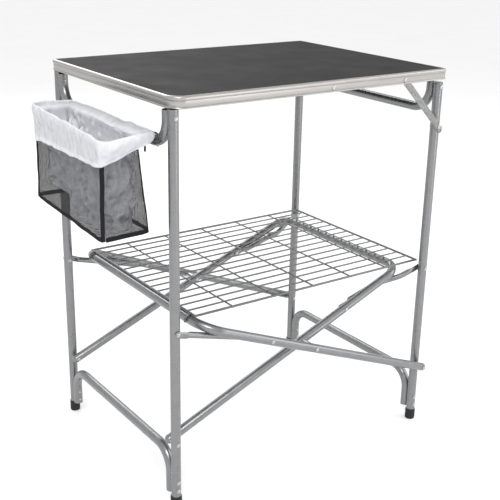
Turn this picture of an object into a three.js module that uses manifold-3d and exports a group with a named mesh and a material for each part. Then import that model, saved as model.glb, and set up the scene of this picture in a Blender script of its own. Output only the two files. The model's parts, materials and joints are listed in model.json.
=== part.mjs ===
// Folding camp kitchen table: an aluminium-edged top on two tube side frames that are joined by a pair of
// crossing U frames, with a wire rack laid on the crossing frames and a mesh waste bag hooked on the left side.
// Millimetres, +Z up, +X to the right and +Y to the back. Pieces are placed from the middle of the table top;
// the finished group is then moved so that the origin is on the floor under the middle of table and bag.
import * as THREE from "three";
import { mergeVertices } from "three/addons/utils/BufferGeometryUtils.js";
import Module from "manifold-3d";

const wasm = await Module();
wasm.setup();

// ---------- driving dimensions ----------
const TABLE_LENGTH = 640;
const TABLE_DEPTH = 480;
const TABLE_HEIGHT = 800;
const GAP = 0.4; // running gap between neighbouring pieces
const ORIGIN_SHIFT = 58; // the bag makes the whole part reach further to the left

const TRIM_HEIGHT = 22;
const TRIM_WALL = 1.3;
const TRIM_BEAD = 1.4;
const TRIM_LIP = 5;
const TRIM_FLANGE_DROP = 6; // underside of the panel slot, measured down from the top of the trim
const CORNER_RADIUS = 27; // the front left corner of the top
const TIGHT_CORNER_RADIUS = 8; // its other corners
const PANEL_THICKNESS = 4; // of the edge that the trim grips
const PANEL_RISE = 0.8; // the worktop stands above its gripped edge

const LEG_RADIUS = 9.5;
const TUBE_WALL = 1.2;
const LEG_X = 312;
const LEG_Y = 226.5;
const LEG_BOTTOM = 4.4;
const FOOT_HEIGHT = 24;

const CROSS_RADIUS = 9;
const ARM_LAYER = 22; // sideways distance from a leg's centre line to the arm riveted on it
const ARM_PIVOT_Z = 138;
const ARM_OVERHANG = 1; // straight tube past the pivot, before the rounded end
const BAR_X = 262;
const BAR_Z = 372;
const OUTER_BEND = 50; // centre line radius where an arm turns into its bar
const INNER_BEND = 35;

const BRACE_SHIFT = 19.3; // a brace end lies beside its leg
const UPPER_BRACE_Z = 712;
const UPPER_BRACE_TOP = 774;
const LOWER_BRACE_Z = 112;
const LOWER_BRACE_END = 27;
const BRACE_BEND = 45;
const UPPER_RIVET_Z = 762;
const LOWER_RIVETS_Z = [37, 55];

const LINK_Z = 368;
const LINK_END_X = 111; // where a link meets its arm
const LINK_RADIUS = 6;
const LINK_FLAT = 1.25; // half thickness of a flattened end
const LINK_FLAT_RUN = 17; // flattened length past each rivet
const LINK_TUBE_START = 30; // full roundness, measured from each rivet
const LINK_DIP = 3.5; // how far a right link sags below the inner frame's bend

const RACK_LEFT = -260;
const RACK_RIGHT = 304;
const RACK_HALF_DEPTH = 212;
const RACK_LONG_WIRES = 16;
const RACK_CROSS_WIRES = 5;
const CROSS_WIRE_PITCH = 98;
const RIM_WIRE = 2.3;
const GRID_WIRE = 1.7;

const STRUT_X = 206;
const STRUT_Z = 785.5;
const STUD_Z = 680;
const STRUT_HALF_WIDTH = 7.1;
const STRUT_THICKNESS = 2;
const TRIM_RIVET_X = 24;
const TRIM_RIVET_Z = 786;

const HINGE_X = 312;
const HINGE_Z = 781;
const RIGHT_LEG_TOP = 768.5;

const RIVET_SHAFT = 2.5;
const RIVET_HEAD = 4.2;
const RIVET_HEAD_THICKNESS = 1.6;
const HOLE_RADIUS = 2.8;

const BAG_INNER_X = -331;
const BAG_OUTER_X = -436;
const BAG_FRONT_Y = -188;
const BAG_BACK_Y = 140;
const BAG_BOTTOM_Z = 550;
const BAG_TOP_Z = 728;
const NET_WALL = 2;
const CUFF_BOTTOM_Z = 690;
const HOOK_POSITIONS_Y = [-158, 112];

const TUBE_SIDES = 12;
const RIVET_SIDES = 8;
const WIRE_SIDES = 6;
const BEND_STEPS = 4;
const CORNER_STEPS = 6;

// ---------- materials ----------
const metal = (color, roughness) => new THREE.MeshStandardMaterial({ color, roughness, metalness: 0.9 });
const plastic = (color, roughness) => new THREE.MeshStandardMaterial({ color, roughness, metalness: 0 });
const coatedTube = () => metal("#a3a4a8", 0.42);
const aluminium = () => metal("#c2c0bb", 0.34);
const zincPlate = () => metal("#b4b6b0", 0.4);
const rivetMetal = () => metal("#c9cacc", 0.3);
const rackWire = () => metal("#8b8c8f", 0.4);
const laminate = () => plastic("#505152", 0.6);
const blackRubber = () => plastic("#1b1b1c", 0.75);
const blackMesh = () => plastic("#2b2b2c", 0.9);
const whiteFilm = () => plastic("#eef0f4", 0.35);

// ---------- solids ----------
function solidOf(geometry) {
  const bare = geometry.clone();
  bare.deleteAttribute("normal");
  bare.deleteAttribute("uv");
  const merged = mergeVertices(bare, 1e-4);
  return new wasm.Manifold(
    new wasm.Mesh({
      numProp: 3,
      vertProperties: new Float32Array(merged.attributes.position.array),
      triVerts: new Uint32Array(merged.index.array),
    }),
  );
}

function geometryOf(solid) {
  const { vertProperties, triVerts } = solid.getMesh();
  const geometry = new THREE.BufferGeometry();
  geometry.setAttribute("position", new THREE.BufferAttribute(new Float32Array(vertProperties), 3));
  geometry.setIndex(new THREE.BufferAttribute(new Uint32Array(triVerts), 1));
  geometry.computeVertexNormals();
  return geometry;
}

const joined = (solids) => solids.reduce((whole, piece) => whole.add(piece));

// Cuts the tools away and keeps the largest body, since coplanar cuts can leave slivers behind.
function cutBy(solid, tools) {
  const rest = tools.reduce((left, tool) => left.subtract(tool), solid);
  const bodies = rest.decompose();
  return bodies.reduce((largest, body) => (body.volume() > largest.volume() ? body : largest));
}

// A solid box between two opposite corners.
function box(low, high) {
  const size = high.map((value, i) => value - low[i]);
  const geometry = new THREE.BoxGeometry(...size);
  geometry.translate(...low.map((value, i) => value + size[i] / 2));
  return solidOf(geometry);
}

// A solid cylinder along Y, centred on (x, z), between two depths.
function rodAlongY(x, z, fromY, toY, radius, sides = RIVET_SIDES) {
  const geometry = new THREE.CylinderGeometry(radius, radius, Math.abs(toY - fromY), sides);
  geometry.translate(x, (fromY + toY) / 2, z);
  return solidOf(geometry);
}

// Points of a polyline whose inner corners are replaced by arcs.
function bentPath(corners, radius) {
  const points = [corners[0]];
  for (let i = 1; i < corners.length - 1; i += 1) {
    const back = corners[i - 1].clone().sub(corners[i]).normalize();
    const ahead = corners[i + 1].clone().sub(corners[i]).normalize();
    const halfAngle = back.angleTo(ahead) / 2;
    const setback = radius / Math.tan(halfAngle);
    const towardsCentre = back.clone().add(ahead).normalize();
    const centre = corners[i].clone().addScaledVector(towardsCentre, radius / Math.sin(halfAngle));
    const start = corners[i].clone().addScaledVector(back, setback).sub(centre);
    const end = corners[i].clone().addScaledVector(ahead, setback).sub(centre);
    const turn = new THREE.Vector3().crossVectors(start, end).normalize();
    for (let step = 0; step <= BEND_STEPS; step += 1) {
      const angle = (start.angleTo(end) * step) / BEND_STEPS;
      points.push(start.clone().applyAxisAngle(turn, angle).add(centre));
    }
  }
  points.push(corners[corners.length - 1]);
  return points;
}

// Closed sweep of an ellipse along a planar run of stations. Each station has a centre, a half width in the
// plane and a half thickness across it; the plane's normal is given.
function sweep(stations, normal, sides = TUBE_SIDES) {
  const positions = [];
  const indices = [];
  stations.forEach(({ at, width, thickness }, i) => {
    const before = stations[Math.max(i - 1, 0)].at;
    const after = stations[Math.min(i + 1, stations.length - 1)].at;
    const incoming = (i ? at.clone().sub(before) : after.clone().sub(at)).normalize();
    const outgoing = (i < stations.length - 1 ? after.clone().sub(at) : incoming.clone()).normalize();
    const tangent = incoming.clone().add(outgoing).normalize();
    const side = new THREE.Vector3().crossVectors(tangent, normal).normalize();
    const miter = 1 / Math.max(tangent.dot(incoming), 0.5);
    for (let k = 0; k < sides; k += 1) {
      const angle = (2 * Math.PI * (k + 0.5)) / sides;
      const point = at
        .clone()
        .addScaledVector(normal, thickness * Math.cos(angle))
        .addScaledVector(side, width * miter * Math.sin(angle));
      positions.push(...point.toArray());
    }
  });
  const ring = (i, k) => i * sides + (k % sides);
  for (let i = 0; i < stations.length - 1; i += 1) {
    for (let k = 0; k < sides; k += 1) {
      indices.push(ring(i, k), ring(i, k + 1), ring(i + 1, k + 1));
      indices.push(ring(i, k), ring(i + 1, k + 1), ring(i + 1, k));
    }
  }
  const last = stations.length - 1;
  for (let k = 1; k < sides - 1; k += 1) {
    indices.push(ring(0, 0), ring(0, k + 1), ring(0, k));
    indices.push(ring(last, 0), ring(last, k), ring(last, k + 1));
  }
  const geometry = new THREE.BufferGeometry();
  geometry.setAttribute("position", new THREE.BufferAttribute(new Float32Array(positions), 3));
  geometry.setIndex(indices);
  const solid = solidOf(geometry);
  return solid.volume() < 0 ? solidOf(insideOut(geometry)) : solid;
}

function insideOut(geometry) {
  const turned = geometry.clone();
  const order = Array.from(geometry.index.array);
  for (let i = 0; i < order.length; i += 3) {
    [order[i + 1], order[i + 2]] = [order[i + 2], order[i + 1]];
  }
  turned.setIndex(order);
  return turned;
}

const roundStations = (points, radius) => points.map((at) => ({ at, width: radius, thickness: radius }));

// A bent tube with open, square ends.
function openTube(points, radius, normal) {
  const outside = sweep(roundStations(points, radius), normal);
  const bore = points.map((point) => point.clone());
  const overrun = 2;
  bore[0].addScaledVector(points[0].clone().sub(points[1]).normalize(), overrun);
  const n = points.length;
  bore[n - 1].addScaledVector(points[n - 1].clone().sub(points[n - 2]).normalize(), overrun);
  return outside.subtract(sweep(roundStations(bore, radius - TUBE_WALL), normal));
}

// A bent tube with rounded, closed ends.
function roundEndedTube(points, radius, normal) {
  const n = points.length;
  const outwardStart = points[0].clone().sub(points[1]).normalize();
  const outwardEnd = points[n - 1].clone().sub(points[n - 2]).normalize();
  const domeAngles = [40, 75].map(THREE.MathUtils.degToRad);
  const domeStation = (end, outward, angle) => ({
    at: end.clone().addScaledVector(outward, radius * Math.sin(angle)),
    width: radius * Math.cos(angle),
    thickness: radius * Math.cos(angle),
  });
  const stations = [
    ...domeAngles.map((angle) => domeStation(points[0], outwardStart, angle)).reverse(),
    ...roundStations(points, radius),
    ...domeAngles.map((angle) => domeStation(points[n - 1], outwardEnd, angle)),
  ];
  const bore = sweep(roundStations(points, radius - TUBE_WALL), normal);
  return sweep(stations, normal).subtract(bore);
}

// A rivet along Y: a shaft between two domed heads, with an optional spacing collar {from, to} on the shaft.
function rivet(x, z, fromY, toY, collar = null) {
  const low = Math.min(fromY, toY);
  const high = Math.max(fromY, toY);
  const domed = (y, direction) => {
    const rim = RIVET_HEAD_THICKNESS * 0.4;
    const profile = [
      new THREE.Vector2(0, 0),
      new THREE.Vector2(RIVET_HEAD, 0),
      new THREE.Vector2(RIVET_HEAD, rim),
      new THREE.Vector2(RIVET_HEAD * 0.6, RIVET_HEAD_THICKNESS),
      new THREE.Vector2(0, RIVET_HEAD_THICKNESS),
    ];
    const geometry = new THREE.LatheGeometry(profile, RIVET_SIDES);
    if (direction < 0) geometry.rotateX(Math.PI);
    geometry.translate(x, y, z);
    return solidOf(geometry);
  };
  const weld = 0.1;
  const pieces = [
    rodAlongY(x, z, low - weld, high + weld, RIVET_SHAFT),
    domed(low, -1),
    domed(high, 1),
  ];
  if (collar) pieces.push(rodAlongY(x, z, collar.from, collar.to, collar.radius));
  return joined(pieces);
}

// ---------- placing ----------
const table = new THREE.Group();

function add(name, solid, material) {
  const mesh = new THREE.Mesh(geometryOf(solid), material);
  mesh.name = name;
  table.add(mesh);
}

const SIDES = [
  { label: "left", sx: -1 },
  { label: "right", sx: 1 },
];
const ENDS = [
  { label: "front", sy: -1 },
  { label: "rear", sy: 1 },
];
const corners = SIDES.flatMap((side) => ENDS.map((end) => ({ ...side, ...end, end: end.label, side: side.label })));

const legOuterFace = LEG_Y + LEG_RADIUS;
const legInnerFace = LEG_Y - LEG_RADIUS;
const trimBottom = TABLE_HEIGHT - TRIM_HEIGHT;
const crossCentreZ = ARM_PIVOT_Z + ((BAR_Z - ARM_PIVOT_Z) * LEG_X) / (LEG_X + BAR_X);
const X_AXIS = new THREE.Vector3(1, 0, 0);
const Y_AXIS = new THREE.Vector3(0, 1, 0);
const Z_AXIS = new THREE.Vector3(0, 0, 1);

// ---------- table top ----------
// Points round the top's outline moved inwards by the inset, anticlockwise from above, with outward directions.
function topOutline(inset) {
  const points = [];
  const quarters = [
    { sx: 1, sy: 1, corner: TIGHT_CORNER_RADIUS },
    { sx: -1, sy: 1, corner: TIGHT_CORNER_RADIUS },
    { sx: -1, sy: -1, corner: CORNER_RADIUS },
    { sx: 1, sy: -1, corner: TIGHT_CORNER_RADIUS },
  ];
  quarters.forEach(({ sx, sy, corner }, quarter) => {
    for (let step = 0; step <= CORNER_STEPS; step += 1) {
      const angle = ((quarter + step / CORNER_STEPS) * Math.PI) / 2;
      const out = new THREE.Vector2(Math.cos(angle), Math.sin(angle));
      points.push({
        out,
        x: sx * (TABLE_LENGTH / 2 - corner) + (corner - inset) * out.x,
        y: sy * (TABLE_DEPTH / 2 - corner) + (corner - inset) * out.y,
      });
    }
  });
  return points;
}

// The panel: its edge sits in the trim's slot and its middle is raised to the worktop height.
function panel() {
  const slab = (inset, bottom, top) => {
    const shape = new THREE.Shape(topOutline(inset).map(({ x, y }) => new THREE.Vector2(x, y)));
    const geometry = new THREE.ExtrudeGeometry(shape, { depth: top - bottom, bevelEnabled: false });
    geometry.translate(0, 0, bottom);
    return solidOf(geometry);
  };
  const underside = TABLE_HEIGHT - TRIM_FLANGE_DROP + GAP;
  const edgeTop = underside + PANEL_THICKNESS;
  const clearOfLip = TRIM_LIP + 1.2;
  return slab(TRIM_WALL + GAP, underside, edgeTop).add(slab(clearOfLip, underside + 1, edgeTop + PANEL_RISE));
}

// The extrusion round the panel: a beaded skirt with a slot that grips the panel's edge.
function trim() {
  const slotTop = TRIM_HEIGHT - TRIM_FLANGE_DROP + PANEL_THICKNESS + 2 * GAP;
  const slotBottom = TRIM_HEIGHT - TRIM_FLANGE_DROP;
  const flange = 1;
  const section = [
    [-TRIM_WALL, 0],
    [0.6, 0],
    [TRIM_BEAD, 0.9],
    [TRIM_BEAD, 2.3],
    [0, 3.2],
    [0, 14],
    [TRIM_BEAD, 15],
    [TRIM_BEAD, 20],
    [0.2, TRIM_HEIGHT],
    [-TRIM_LIP, TRIM_HEIGHT],
    [-TRIM_LIP - 0.6, slotTop],
    [-TRIM_WALL, slotTop],
    [-TRIM_WALL, slotBottom],
    [-TRIM_LIP, slotBottom],
    [-TRIM_LIP, slotBottom - flange],
    [-TRIM_WALL, slotBottom - flange],
  ];
  const path = topOutline(0);
  const positions = path.flatMap(({ x, y, out }) =>
    section.flatMap(([offset, z]) => [x + offset * out.x, y + offset * out.y, trimBottom + z]),
  );
  const indices = [];
  const at = (i, k) => (i % path.length) * section.length + (k % section.length);
  for (let i = 0; i < path.length; i += 1) {
    for (let k = 0; k < section.length; k += 1) {
      indices.push(at(i, k), at(i + 1, k), at(i + 1, k + 1));
      indices.push(at(i, k), at(i + 1, k + 1), at(i, k + 1));
    }
  }
  const geometry = new THREE.BufferGeometry();
  geometry.setAttribute("position", new THREE.BufferAttribute(new Float32Array(positions), 3));
  geometry.setIndex(indices);
  const ring = solidOf(geometry);
  const front = -TABLE_DEPTH / 2;
  const holes = ENDS.map(({ sy }) =>
    rodAlongY(STRUT_X, STRUT_Z, sy * (TABLE_DEPTH / 2 - 3), sy * (TABLE_DEPTH / 2 + 3), HOLE_RADIUS),
  );
  holes.push(rodAlongY(TRIM_RIVET_X, TRIM_RIVET_Z, front - 3, front + 3, HOLE_RADIUS));
  return cutBy(ring.volume() < 0 ? solidOf(insideOut(geometry)) : ring, holes);
}

const strutFaceIn = TABLE_DEPTH / 2 - TRIM_WALL - GAP - STRUT_THICKNESS;

// A flat stay: round at its rivet, and at its lower end a side notch that drops over the stud on the leg.
function strut(sy) {
  const length = Math.hypot(LEG_X - STRUT_X, STRUT_Z - STUD_Z);
  const tail = 13;
  const w = STRUT_HALF_WIDTH;
  const outline = new THREE.Shape();
  outline.absarc(0, 0, w, Math.PI / 2, (3 * Math.PI) / 2, false);
  outline.lineTo(length + tail - 4, -w);
  outline.lineTo(length + tail, -w + 4);
  outline.lineTo(length + tail, 1);
  const seat = HOLE_RADIUS + 0.7;
  outline.lineTo(length + seat + 1, w);
  outline.lineTo(length + seat, 0.6);
  outline.absarc(length, 0, seat, 0, Math.PI, true);
  outline.lineTo(length - seat - 9, w);
  outline.closePath();
  const hole = new THREE.Path();
  hole.absarc(0, 0, HOLE_RADIUS, 0, 2 * Math.PI, false);
  outline.holes.push(hole);
  const geometry = new THREE.ExtrudeGeometry(outline, {
    depth: STRUT_THICKNESS,
    bevelEnabled: false,
    curveSegments: 8,
  });
  geometry.rotateX(Math.PI / 2);
  geometry.rotateY(Math.atan2(STRUT_Z - STUD_Z, LEG_X - STRUT_X));
  const y = sy < 0 ? -strutFaceIn : strutFaceIn + STRUT_THICKNESS;
  geometry.translate(STRUT_X, y, STRUT_Z);
  return solidOf(geometry);
}

function strutRivet(sy) {
  const outside = sy * (TABLE_DEPTH / 2 + GAP / 2);
  return rivet(STRUT_X, STRUT_Z, outside, sy * (strutFaceIn - GAP / 2));
}

function trimRivet() {
  const outside = -(TABLE_DEPTH / 2 + GAP / 2);
  return rivet(TRIM_RIVET_X, TRIM_RIVET_Z, outside, -(TABLE_DEPTH / 2 - TRIM_WALL - GAP / 2));
}

const earInner = LEG_Y - 10;
const earThickness = 4;

// A plug on a right leg: a collar on the tube's end and an upright ear that carries the top's hinge pin.
function hingeCap(sy) {
  const collar = new THREE.CylinderGeometry(LEG_RADIUS, LEG_RADIUS, 2, TUBE_SIDES);
  collar.rotateX(Math.PI / 2);
  collar.translate(LEG_X, sy * LEG_Y, RIGHT_LEG_TOP + GAP + 1);
  const spigotDepth = 3;
  const spigot = new THREE.CylinderGeometry(7.6, 7.6, spigotDepth + 1, TUBE_SIDES);
  spigot.rotateX(Math.PI / 2);
  spigot.translate(LEG_X, sy * LEG_Y, RIGHT_LEG_TOP - (spigotDepth - 1) / 2);
  const near = sy * (earInner + earThickness / 2);
  const far = sy * (earInner - earThickness / 2);
  const bottom = RIGHT_LEG_TOP + GAP;
  const block = (fromX, toX, y, fromZ, toZ) =>
    box([fromX, Math.min(y, far), fromZ], [toX, Math.max(y, far), toZ]);
  const eyeRadius = 5;
  const earLeft = HINGE_X - 9;
  const clearOfSkirt = HINGE_X - 3.6; // the lifted trim sweeps through everything right of this
  const ear = block(earLeft, clearOfSkirt, near, bottom, HINGE_Z);
  const arch = block(earLeft, HINGE_X, near, HINGE_Z - 4, HINGE_Z + 4);
  const eye = rodAlongY(HINGE_X, HINGE_Z, near, far, eyeRadius, TUBE_SIDES);
  const web = block(earLeft, HINGE_X + eyeRadius, sy * LEG_Y, bottom, bottom + 2);
  const pinHole = rodAlongY(HINGE_X, HINGE_Z, near + sy, far - sy, HOLE_RADIUS);
  return cutBy(joined([solidOf(collar), solidOf(spigot), ear, arch, eye, web]), [pinHole]);
}

// An angle plate under the panel whose cheek stands beside the plug's ear.
function hingeBracket(sy) {
  const thickness = 2;
  const cheekFar = earInner - earThickness / 2 - GAP;
  const ys = [sy * cheekFar, sy * (cheekFar - thickness)].sort((a, b) => a - b);
  const panelUnder = TABLE_HEIGHT - TRIM_FLANGE_DROP;
  const flangeUnder = panelUnder - 1 - GAP;
  const cheek = box([HINGE_X - 6, ys[0], HINGE_Z - 5], [HINGE_X + 5, ys[1], flangeUnder]);
  const footYs = [sy * cheekFar, sy * (cheekFar - 26)].sort((a, b) => a - b);
  const foot = box([HINGE_X - 22, footYs[0], panelUnder - thickness], [HINGE_X + 2, footYs[1], panelUnder]);
  const pinHole = rodAlongY(HINGE_X, HINGE_Z, ys[0] - 1, ys[1] + 1, HOLE_RADIUS);
  return cutBy(cheek.add(foot), [pinHole]);
}

function hingePin(sy) {
  const outside = sy * (earInner + earThickness / 2 + GAP / 2);
  const inside = sy * (earInner - earThickness / 2 - 2 * GAP - 2);
  return rivet(HINGE_X, HINGE_Z, outside, inside);
}

// ---------- side frames ----------
function leg(sx, sy) {
  const top = sx > 0 ? RIGHT_LEG_TOP : trimBottom - GAP;
  const points = [LEG_BOTTOM, top].map((z) => new THREE.Vector3(sx * LEG_X, sy * LEG_Y, z));
  const heights = [UPPER_RIVET_Z, ...LOWER_RIVETS_Z, ARM_PIVOT_Z, LINK_Z];
  if (sx > 0) heights.push(STUD_Z);
  const holes = heights.map((z) =>
    rodAlongY(sx * LEG_X, z, sy * (legInnerFace - 1), sy * (legOuterFace + 1), HOLE_RADIUS),
  );
  return cutBy(openTube(points, LEG_RADIUS, X_AXIS), holes);
}

function foot(sx, sy) {
  const bore = LEG_RADIUS / Math.cos(Math.PI / TUBE_SIDES) + 0.2;
  const profile = [
    [0, 0],
    [9.6, 0],
    [11, 2.5],
    [10.6, 8],
    [11, 13],
    [11, FOOT_HEIGHT - 1],
    [bore + 0.6, FOOT_HEIGHT],
    [bore, FOOT_HEIGHT],
    [bore, LEG_BOTTOM - GAP],
    [0, LEG_BOTTOM - GAP],
  ].map(([r, z]) => new THREE.Vector2(r, z));
  const geometry = new THREE.LatheGeometry(profile, TUBE_SIDES);
  geometry.rotateX(Math.PI / 2);
  geometry.translate(sx * LEG_X, sy * LEG_Y, 0);
  return solidOf(geometry);
}

// A U-shaped tie between the two legs of one side, seen from the end: its ends lie beside the legs.
function brace(sx, endZ, spanZ, rivetHeights) {
  const y = LEG_Y - BRACE_SHIFT;
  const corner = (cy, cz) => new THREE.Vector3(sx * LEG_X, cy, cz);
  const points = bentPath([corner(-y, endZ), corner(-y, spanZ), corner(y, spanZ), corner(y, endZ)], BRACE_BEND);
  const holes = rivetHeights.flatMap((z) =>
    ENDS.map(({ sy }) => rodAlongY(sx * LEG_X, z, sy * (y - 11), sy * (y + 11), HOLE_RADIUS)),
  );
  return cutBy(openTube(points, LEG_RADIUS, X_AXIS), holes);
}

function braceRivet(sx, sy, z) {
  const outside = sy * (legOuterFace + GAP / 2);
  const inside = sy * (LEG_Y - BRACE_SHIFT - LEG_RADIUS - GAP / 2);
  return rivet(sx * LEG_X, z, outside, inside);
}

// ---------- crossing frames ----------
// A U frame whose arms run down from its bar to their pivots on the legs at the other side.
function crossFrame(towards, armY, bend) {
  const pivot = new THREE.Vector3(-towards * LEG_X, 0, ARM_PIVOT_Z);
  const bar = new THREE.Vector3(towards * BAR_X, 0, BAR_Z);
  const along = bar.clone().sub(pivot).normalize();
  const end = pivot.clone().addScaledVector(along, -ARM_OVERHANG);
  const normal = new THREE.Vector3().crossVectors(along, Y_AXIS).normalize();
  const at = (point, y) => new THREE.Vector3(point.x, y, point.z);
  const points = bentPath([at(end, -armY), at(bar, -armY), at(bar, armY), at(end, armY)], bend);
  const centres = [
    [pivot.x, pivot.z],
    [0, crossCentreZ],
  ];
  const holes = centres.flatMap(([x, z]) =>
    ENDS.map(({ sy }) => rodAlongY(x, z, sy * (armY - 11), sy * (armY + 11), HOLE_RADIUS)),
  );
  return cutBy(roundEndedTube(points, CROSS_RADIUS, normal), holes);
}

const outerArmY = LEG_Y + ARM_LAYER;
const innerArmY = LEG_Y - ARM_LAYER;

function crossRivet(sy) {
  const collar = {
    from: sy * (outerArmY - CROSS_RADIUS - GAP),
    to: sy * (innerArmY + CROSS_RADIUS + GAP),
    radius: 6,
  };
  const outside = sy * (outerArmY + CROSS_RADIUS + GAP / 2);
  return rivet(0, crossCentreZ, outside, sy * (innerArmY - CROSS_RADIUS - GAP / 2), collar);
}

// The pivot of an arm on its leg: the outer frame's arms on the right legs, the inner frame's on the left.
function armRivet(sx, sy) {
  const collarRadius = 6;
  const outer = sx > 0;
  const outside = outer ? outerArmY + CROSS_RADIUS : legOuterFace;
  const inside = outer ? legInnerFace : innerArmY - CROSS_RADIUS;
  const collar = outer
    ? { from: sy * (legOuterFace + GAP), to: sy * (outerArmY - CROSS_RADIUS - GAP), radius: collarRadius }
    : { from: sy * (legInnerFace - GAP), to: sy * (innerArmY + CROSS_RADIUS + GAP), radius: collarRadius };
  return rivet(sx * LEG_X, ARM_PIVOT_Z, sy * (outside + GAP / 2), sy * (inside - GAP / 2), collar);
}

// The swinging link between a leg and the arm above it: a tube flattened at both ends. The left links lie
// between the legs and the outer frame's arms. The right links start inside the legs, pass under the bend of
// the inner frame and end inside its arms.
function linkPlaces(sx) {
  const clear = GAP + 0.1;
  if (sx < 0) {
    const plate = legOuterFace + clear + LINK_FLAT;
    const tube = outerArmY - CROSS_RADIUS - GAP - LINK_RADIUS;
    return { plateAtLeg: plate, tubeAtLeg: tube, tubeAtArm: tube, plateAtArm: plate, dip: 0 };
  }
  const insideArm = innerArmY - CROSS_RADIUS;
  return {
    plateAtLeg: legInnerFace - clear - LINK_FLAT,
    tubeAtLeg: legInnerFace - GAP - LINK_RADIUS,
    tubeAtArm: insideArm - GAP - LINK_RADIUS,
    plateAtArm: insideArm - clear - LINK_FLAT,
    dip: LINK_DIP,
  };
}

function link(sx, sy) {
  const { plateAtLeg, tubeAtLeg, tubeAtArm, plateAtArm, dip } = linkPlaces(sx);
  const armZ = ARM_PIVOT_Z + ((BAR_Z - ARM_PIVOT_Z) * (LEG_X + LINK_END_X)) / (LEG_X + BAR_X);
  const run = LEG_X - LINK_END_X;
  const length = Math.hypot(run, LINK_Z - armZ);
  const eyeHalfHeight = 6.4;
  const tipHalfHeight = 5.4;
  const passed = 100; // from here on the link is beside its arm
  const station = (distance, y, width, thickness, drop = 0) => ({
    at: new THREE.Vector3(
      sx * (LEG_X - (run * distance) / length),
      sy * y,
      LINK_Z - ((LINK_Z - armZ) * distance) / length - drop,
    ),
    width,
    thickness,
  });
  const plate = (distance, y, width) => station(distance, y, width, LINK_FLAT);
  const tube = (distance, drop = 0) => {
    const share = THREE.MathUtils.clamp((distance - LINK_TUBE_START) / (passed - LINK_TUBE_START), 0, 1);
    return station(distance, THREE.MathUtils.lerp(tubeAtLeg, tubeAtArm, share), LINK_RADIUS, LINK_RADIUS, drop);
  };
  const stations = [
    plate(-7, plateAtLeg, 2.5),
    plate(-5, plateAtLeg, 5),
    plate(0, plateAtLeg, eyeHalfHeight),
    plate(LINK_FLAT_RUN, plateAtLeg, eyeHalfHeight),
    tube(LINK_TUBE_START, dip / 2),
    tube(55, dip),
    tube(82, dip),
    tube(passed + 10),
    tube(length - LINK_TUBE_START),
    plate(length - LINK_FLAT_RUN, plateAtArm, tipHalfHeight),
    plate(length, plateAtArm, tipHalfHeight),
    plate(length + 4, plateAtArm, 4),
    plate(length + 5.5, plateAtArm, 2),
  ];
  const y = sy * plateAtLeg;
  const hole = rodAlongY(sx * LEG_X, LINK_Z, y - 3, y + 3, HOLE_RADIUS);
  return cutBy(sweep(stations, Y_AXIS), [hole]);
}

function linkRivet(sx, sy) {
  const beyondLink = linkPlaces(sx).plateAtLeg + (sx < 0 ? 1 : -1) * (LINK_FLAT + GAP / 2);
  const farFace = sx < 0 ? legInnerFace - GAP / 2 : legOuterFace + GAP / 2;
  return rivet(sx * LEG_X, LINK_Z, sy * beyondLink, sy * farFace);
}

function strutStud(sy) {
  const outside = sy * (strutFaceIn + STRUT_THICKNESS + GAP);
  return rivet(LEG_X, STUD_Z, outside, sy * (legInnerFace - GAP / 2));
}

// ---------- wire rack ----------
function wire(from, to, radius) {
  const across = Math.abs(to[0] - from[0]) > Math.abs(to[1] - from[1]) ? Y_AXIS : X_AXIS;
  const points = [from, to].map((point) => new THREE.Vector3(...point));
  return sweep(roundStations(points, radius), across, WIRE_SIDES);
}

function rack() {
  const rimZ = BAR_Z + CROSS_RADIUS + 0.5 + RIM_WIRE;
  const gridZ = rimZ + 0.4;
  const crossZ = gridZ - GRID_WIRE;
  const middle = (RACK_LEFT + RACK_RIGHT) / 2;
  const wires = [];
  for (let i = 0; i < RACK_LONG_WIRES; i += 1) {
    const y = -RACK_HALF_DEPTH + (2 * RACK_HALF_DEPTH * i) / (RACK_LONG_WIRES - 1);
    const edge = i === 0 || i === RACK_LONG_WIRES - 1;
    const z = edge ? rimZ : gridZ;
    wires.push(wire([RACK_LEFT, y, z], [RACK_RIGHT, y, z], edge ? RIM_WIRE : GRID_WIRE));
  }
  for (let i = 0; i < RACK_CROSS_WIRES; i += 1) {
    const x = middle + CROSS_WIRE_PITCH * (i - (RACK_CROSS_WIRES - 1) / 2);
    wires.push(wire([x, -RACK_HALF_DEPTH, crossZ], [x, RACK_HALF_DEPTH, crossZ], GRID_WIRE));
  }
  for (const x of [RACK_LEFT, RACK_RIGHT]) {
    const reach = RACK_HALF_DEPTH + RIM_WIRE * 0.8;
    wires.push(wire([x, -reach, rimZ], [x, reach, rimZ], RIM_WIRE));
  }
  return joined(wires);
}

// ---------- waste bag ----------
const bagBox = (inset, bottom, top) =>
  box([BAG_OUTER_X + inset, BAG_FRONT_Y + inset, bottom], [BAG_INNER_X - inset, BAG_BACK_Y - inset, top]);

function bagNet() {
  const overrun = 5;
  const hollow = bagBox(NET_WALL, BAG_BOTTOM_Z + NET_WALL, BAG_TOP_Z + overrun);
  return bagBox(0, BAG_BOTTOM_Z, BAG_TOP_Z).subtract(hollow);
}

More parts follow.
